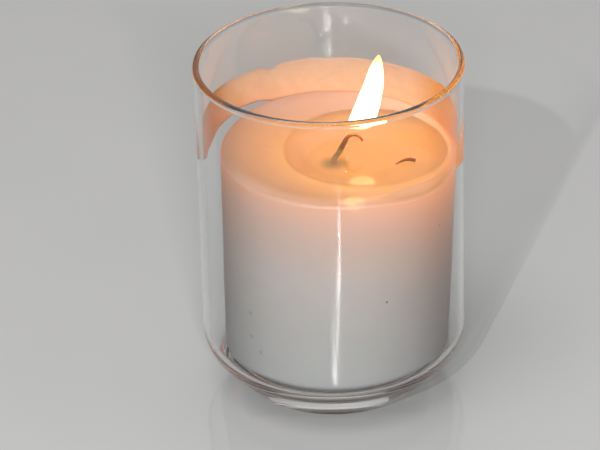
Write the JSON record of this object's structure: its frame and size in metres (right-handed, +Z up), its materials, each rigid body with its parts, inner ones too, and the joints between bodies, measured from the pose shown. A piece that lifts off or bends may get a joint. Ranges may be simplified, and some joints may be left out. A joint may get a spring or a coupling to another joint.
{
  "type": "container candle in a glass tumbler",
  "caption": "Lit white wax candle with a curled burnt wick, standing loose in a straight round clear glass tumbler with a thick rounded base.",
  "frame": {"origin": "on the tumbler's axis, in the plane of its foot ring, where it rests on the table", "axes": "+Z up along the tumbler's axis, +X to the right and -Y to the front of the view in which the candle leans to the right"},
  "size_m": [0.08, 0.08, 0.105],
  "materials": {
    "clear_glass": "clear soda-lime glass, fire-polished",
    "white_wax": "cast paraffin wax, satin",
    "frozen_wax": "refrozen paraffin wax, satin, uneven",
    "molten_wax": "clear liquid paraffin wax, glossy",
    "waxed_cotton": "braided cotton soaked with wax",
    "charred_cotton": "burnt braided cotton, matt",
    "tinned_steel": "tin plate, satin",
    "flame": "glowing candle flame, light only"
  },
  "bodies": {
    "tumbler": {"glass_tumbler": "clear_glass", "wax_wall_ring": "frozen_wax"},
    "candle": {"wax_body": "white_wax", "melt_pool": "molten_wax", "wick_braid": "waxed_cotton", "wick_char": "charred_cotton", "wick_sustainer": "tinned_steel", "wick_trimming": "charred_cotton"}
  },
  "joints": [
    {"name": "candle_lift", "type": "slide", "parent": "tumbler", "child": "candle", "axis": [0, 0, 1], "range_m": [0, 0.11]}
  ]
}
